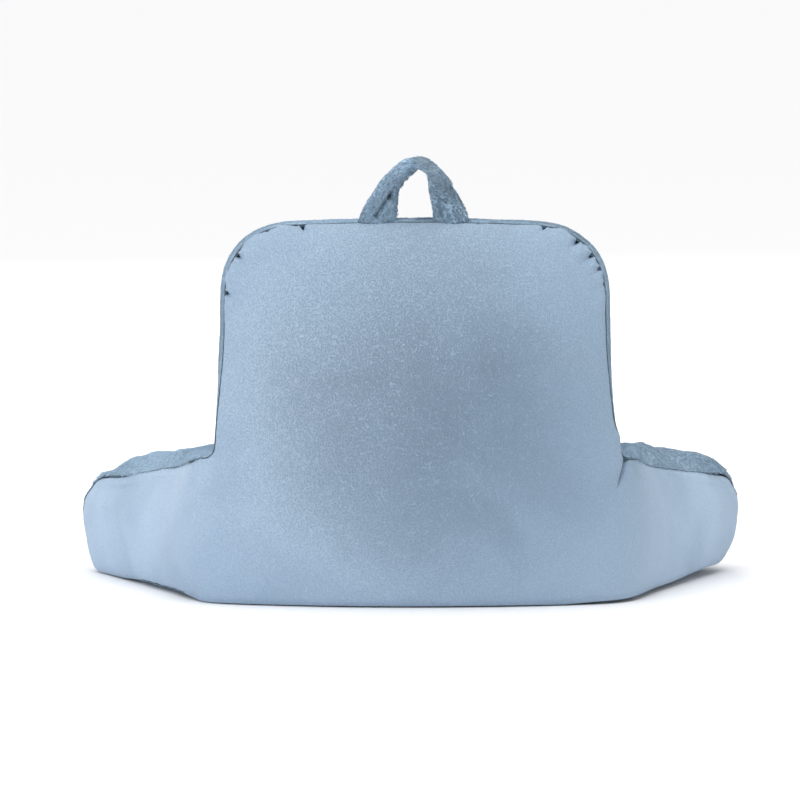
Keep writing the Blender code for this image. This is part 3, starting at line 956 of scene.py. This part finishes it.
def makeBand(filling, velourTree, seam):
    look = boxingBand
    skin = showingSkin("boxing_band", "plushBand", filling, skinLook["fineness"], look["evenings"])
    places = pointsOf(skin.data)
    lowered = lowerSeam(places, normalsOf(skin.data), seam, filling) - places
    dressPlush(skin, look, 11)
    places, normals = pointsOf(skin.data), normalsOf(skin.data)
    flatPlaces = np.column_stack([np.abs(places[:, 0]), places[:, 1]])
    low = places[:, 2] < look["armsBelow"]
    for *ends, width, depth in look["folds"]:
        places -= normals * (depth * low * bell(segmentDistance(flatPlaces, *ends), width))[:, None]
    shade = np.empty(len(places))
    layer = skin.data.attributes["seamShade"].data
    layer.foreach_get("value", shade)
    away = -skinLook["seamShadeReach"] * np.log(np.maximum(shade, 1e-12))      # the shade turned back
    full = np.interp(places[:, 0], look["fullAt"], look["fullness"])
    places[:, 2] += full * low * normals[:, 2].clip(0.0) * smoothRise(away, *look["fullnessReach"])
    places += lowered
    for k in np.flatnonzero(shade > look["shadeLeast"]):
        if velourTree.find_nearest(Vector(places[k]), look["farSeamFrom"])[0] is None:
            shade[k] *= look["farSeamShade"]
    layer.foreach_set("value", shade)
    flareOut(places)
    placePoints(skin.data, places + armShift(places))
    turnEdges(skin)
    return skin


def dressPlush(skin, look, seed, rollShare=1.0):      # ground cloth of a plush piece
    mesh = skin.data
    places, normals = pointsOf(mesh), normalsOf(mesh)
    away = seamDistances(mesh)
    inside = smoothRise(away, 0.0, skinLook["calmEdge"])
    drop = look["sink"] * smoothRise(away, 0.0, skinLook["sinkEdge"])
    drop += rollShare * look["seamRoll"] * bell(away, look["seamRollWidth"])
    drop -= look["unevenness"] * ripple(places, look["unevenSpacing"], seed) * inside
    placePoints(mesh, places - normals * drop[:, None])


def combDown(places):      # the pile lies down and a little outwards
    flow = np.tile(boxingBand["comb"], (len(places), 1))
    flow[:, 0] *= np.sign(places[:, 0])
    return flow


# Base panel

basePanel = {
    "flat": (0.73, 0.38),
    "flatArea": 0.14,
    "fineness": 2,
    "sink": 0.0002,
    "seamRoll": 0.0045,              # its rim stays back behind the velour's lower edge
    "seamRollWidth": 0.0065,
    "liftPower": 3,                  # how soon the rim stays back where the velour's edge lifts off
    "unevenness": 0.0,
    "unevenSpacing": 0.05,
    "tufts": 5000,
    "length": (0.002, 0.003),
    "lean": math.radians(75),
    "edge": 0.012,                   # pile grows only this close to the seams, the rest is pressed flat
    "elsewhere": 1e-6,
}


def makeBase(filling):
    skin = showingSkin("base_panel", "plushBase", filling, basePanel["fineness"])
    lifted = between(pointsOf(skin.data)[:, 0], *backPanel["liftAlong"])
    dressPlush(skin, basePanel, 23, 1.0 - lifted ** basePanel["liftPower"])
    places = pointsOf(skin.data)
    placePoints(skin.data, places + armShift(places))
    turnEdges(skin)
    return skin


# Filled cushion, whose front shows

cushionLook = {
    "voxel": 0.0068,
    "shrink": 0.002,                 # drawn in first, for the pressure to fill out
    "coverReach": 0.0042,            # parts this close to another cloth stay where they are
    "hiddenReach": 0.0016,           # and those this close lie under it, and make room for its folds
    "hiddenSink": 0.0060,
    "sinkFrom": (0.010, 0.028),
    "pressure": 4.0,
    "frames": 20,
    "cap": 0.007,
    "sink": 0.0012,
    "fill": 0.8,
    "tufts": 45000,
    "pileFrom": 0.0075,              # away from the other cloths
    "comb": (0.0, -0.4, -1.0),
}


def clearOf(covers, places, reach):
    return np.array([covers.find_nearest(Vector(p), reach)[0] is None for p in places])


def makeCushion(covers):
    look = cushionLook
    piece = newPiece("plushCushion", solidCopy("cushion"))
    remesh = piece.modifiers.new("even", 'REMESH')
    remesh.mode = 'VOXEL'
    remesh.voxel_size = look["voxel"]
    applyModifiers(piece)
    mesh = piece.data
    start, normals = pointsOf(mesh), normalsOf(mesh)
    free = clearOf(covers, start, look["coverReach"])
    hidden = ~clearOf(covers, start, look["hiddenReach"])
    openTree = nearTree([Vector(p) for p in start[free]])
    apart = np.array([openTree.find(Vector(p))[2] for p in start])
    start -= normals * (look["hiddenSink"] * hidden * smoothRise(apart, *look["sinkFrom"]))[:, None]
    placePoints(mesh, start - normals * (look["shrink"] * free)[:, None])
    held = piece.vertex_groups.new(name="held")
    held.add([int(k) for k in np.flatnonzero(~free)], 1.0, 'REPLACE')
    cloth = piece.modifiers.new("puff", 'CLOTH')
    cloth.settings.use_pressure = True
    cloth.settings.uniform_pressure_force = look["pressure"]
    cloth.settings.effector_weights.gravity = 0.0
    cloth.settings.vertex_group_mass = "held"
    scene = bpy.context.scene
    cloth.point_cache.frame_start, cloth.point_cache.frame_end = 1, look["frames"]
    for frameNumber in range(1, look["frames"] + 1):
        scene.frame_set(frameNumber)
    applyModifiers(piece)
    scene.frame_set(1)
    mesh = piece.data
    move = pointsOf(mesh) - start
    size = np.linalg.norm(move, axis=1, keepdims=True)
    limit = look["cap"] * free[:, None] + 1e-6
    move *= np.minimum(1.0, limit / np.maximum(size, 1e-9))
    print("cushion points moved at most", round(float(size.max()) * 1000, 1), "mm")
    placePoints(mesh, start + move)
    roundOff(piece, 1)
    places = pointsOf(piece.data)
    placePoints(piece.data, places + armShift(places))
    piece.data.shade_smooth()
    return piece


def combFront(places):      # inside the arms and up the front the pile lies down
    return np.tile(cushionLook["comb"], (len(places), 1))


# Strap handle

strapHandle = {
    "fineness": 3,
    "sink": 0.0012,
    "fill": 0.5,
    "tufts": 24000,
    "length": (0.0032, 0.0052),
    "thickness": 0.00042,
    "lean": math.radians(81),
    "leanSpread": math.radians(3),
    "swirlSpacing": 0.018,
    "lockSize": 12,
    "lockPull": 0.7,
    "lockDark": 0.15,
    # painted shade where the pile parts, and painted light on the top and outer edges where depth is below 0
    "paintedShadeAndLightSpots": [
        (-0.0372, 0.4450, 0.0060, 0.75), (-0.0290, 0.4340, 0.0050, 0.5), (0.0235, 0.4440, 0.0050, 0.8),
        (0.0290, 0.4350, 0.0060, 0.8), (0.0360, 0.4260, 0.0045, 0.8), (-0.0160, 0.4700, 0.0040, 0.6),
        (-0.0420, 0.4250, 0.0050, 0.6), (-0.0340, 0.4480, 0.0180, 0.60), (0.0060, 0.4830, 0.0180, -1.00),
        (0.0430, 0.4540, 0.0120, -0.70), (-0.0300, 0.4400, 0.0040, 0.8), (-0.0250, 0.4580, 0.0040, 0.8),
        (0.0320, 0.4640, 0.0110, -0.80), (0.0150, 0.4830, 0.0110, -0.80), (-0.0300, 0.4770, 0.0090, -0.80),
    ],
    # the strap's inner and outer reach from its middle, by height, and how far the outer comes in
    "heights": (0.42, 0.44, 0.465, 0.471, 0.476),
    "inner": (0.0145, 0.0130, 0.0080, 0.0066, 0.0),
    "outer": (0.0630, 0.0590, 0.0460, 0.0420, 0.0360),
    "narrower": 0.0066,
    "narrowFrom": (0.424, 0.456),
    # how far the opening's edges go outwards by height, the photo's left first, and the outer edges come in
    "edgeHeights": (0.4246, 0.4350, 0.4508, 0.4666, 0.4724, 0.4780),
    "leftEdge": (-0.0042, -0.0012, 0.0022, 0.0014, 0.0010, 0.0),
    "rightEdge": (0.0, 0.0018, 0.0022, 0.0010, 0.0024, 0.0),
    "leftTrim": 0.0020,
    "rightTrim": 0.0004,
    "footHeights": (0.418, 0.452),
    "footDrop": 0.0060,              # the ends reach down into the seam
    "footBack": 0.0070,
    "archShift": (0.467, 0.009, 0.0035),     # the arch's top sits off the middle: height, spread and shift
    # creases in its back: x and z of both ends, width and depth
    "creases": [((0.0200, 0.448), (0.0385, 0.424), 0.0026, 0.0060),
                ((-0.024, 0.452), (-0.040, 0.440), 0.0030, 0.0035)],
    # the pile turns over the arch's top: its half width, and how far it lies backwards and down
    "combTurn": 0.008,
    "combBack": 0.4,
    "combDown": 40.0,
}


def strapMiddle():
    low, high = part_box("handle")
    return 0.5 * (low[0] + high[0])


def makeHandle():
    look = strapHandle
    bm = solidCopy("handle")
    joinCells(bm)
    piece = newPiece("plushHandle", bm)
    roundOff(piece, look["fineness"])
    mesh = piece.data
    places, normals = pointsOf(mesh), normalsOf(mesh)
    middle = strapMiddle()
    reach, height = np.abs(places[:, 0] - middle), places[:, 2]
    inner, outer = (np.interp(height, look["heights"], look[side]) for side in ("inner", "outer"))
    share = ((reach - inner) / (outer - inner)).clip(0.0, 1.0)
    share *= look["narrower"] * smoothRise(height, *look["narrowFrom"])
    places[:, 0] -= np.sign(places[:, 0] - middle) * share
    top, spread, aside = look["archShift"]
    near = smoothRise(reach, inner, outer)      # 0 at the opening's edge, 1 at the outer edge
    places[:, 0] -= aside * bell(height - top, spread) * (1.0 - near)
    foot = 1.0 - smoothRise(height, *look["footHeights"])
    places[:, 2] -= look["footDrop"] * foot
    places[:, 1] += look["footBack"] * foot
    for sign, side in ((1.0, "left"), (-1.0, "right")):
        shift = np.interp(places[:, 2], look["edgeHeights"], look[side + "Edge"]) * (1.0 - near)
        shift -= look[side + "Trim"] * near
        places[:, 0] += sign * shift * (sign * (places[:, 0] - middle) > 0.0)
    drop = np.full(len(places), look["sink"])
    for *ends, width, depth in look["creases"]:
        drop += depth * normals[:, 1].clip(0.0) * bell(segmentDistance(places[:, [0, 2]], *ends), width)
    placePoints(mesh, places - normals * drop[:, None])
    return piece


def combStrap(places):      # along the strap, from its top down both legs
    look = strapHandle
    aside = places[:, 0] - strapMiddle()
    turned = (aside / look["combTurn"]).clip(-1.0, 1.0)
    back = look["combBack"] * (1.0 - np.abs(turned))
    return np.column_stack([turned, back, -look["combDown"] * np.abs(aside)])


# Build it all

addCamera()
addStudio()
print("camera, floor and lights are up")

nap, grain = napGroup(), grainGroup()
velour = velourMaterial(nap, grain)
plushGround = plushMaterial(nap, grain)
plushPile = pileMaterial(nap)
print("materials are made")

fillingTree = BVHTree.FromBMesh(solidCopy("cushion"))
back, topSeam = makeBackPanel(fillingTree)
band = makeBand(fillingTree, treeOf(back.data), topSeam)
base = makeBase(fillingTree)
handle = makeHandle()
print("cloth pieces are shaped")

coverTree = treeOf(*(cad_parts[node].data for node in ("back_panel", "boxing_band", "base_panel")))
cushion = makeCushion(coverTree)
print("cushion is filled")


def showsFront(places):
    return clearOf(coverTree, places - armShift(places), cushionLook["pileFrom"]).astype(float)


def atBaseEdge(places):
    tree = seamLine(base.data)
    close = np.array([tree.find(Vector(p))[2] < basePanel["edge"] for p in places])
    return close + basePanel["elsewhere"]


bandPile = growPile("bandPile", band.data, 31, combDown, boxingBand)
basePile = growPile("basePile", base.data, 37, combDown, basePanel, weigh=atBaseEdge)
frontPile = growPile("frontPile", cushion.data, 41, combFront, cushionLook, weigh=showsFront)
handlePile = growPile("handlePile", handle.data, 43, combStrap, strapHandle)
print("pile has grown")

finishes = [
    (back, velour, "velour", ["back_panel"]),
    (band, plushGround, "plush", ["boxing_band"]),
    (base, plushGround, "plush", ["base_panel"]),
    (cushion, plushGround, "plush", ["cushion"]),
    (handle, plushGround, "plush", ["handle"]),
]
finishes += [(pile, plushPile, "plush", []) for pile in (bandPile, basePile, frontPile, handlePile)]
for piece, material, slotName, nodes in finishes:
    piece.data.materials.clear()
    piece.data.materials.append(material)
    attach(piece, "root")
    if nodes:
        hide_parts(*nodes)

for piece, *_ in finishes:
    piece.data.calc_loop_triangles()
    print(piece.name, len(piece.data.loop_triangles), "triangles")
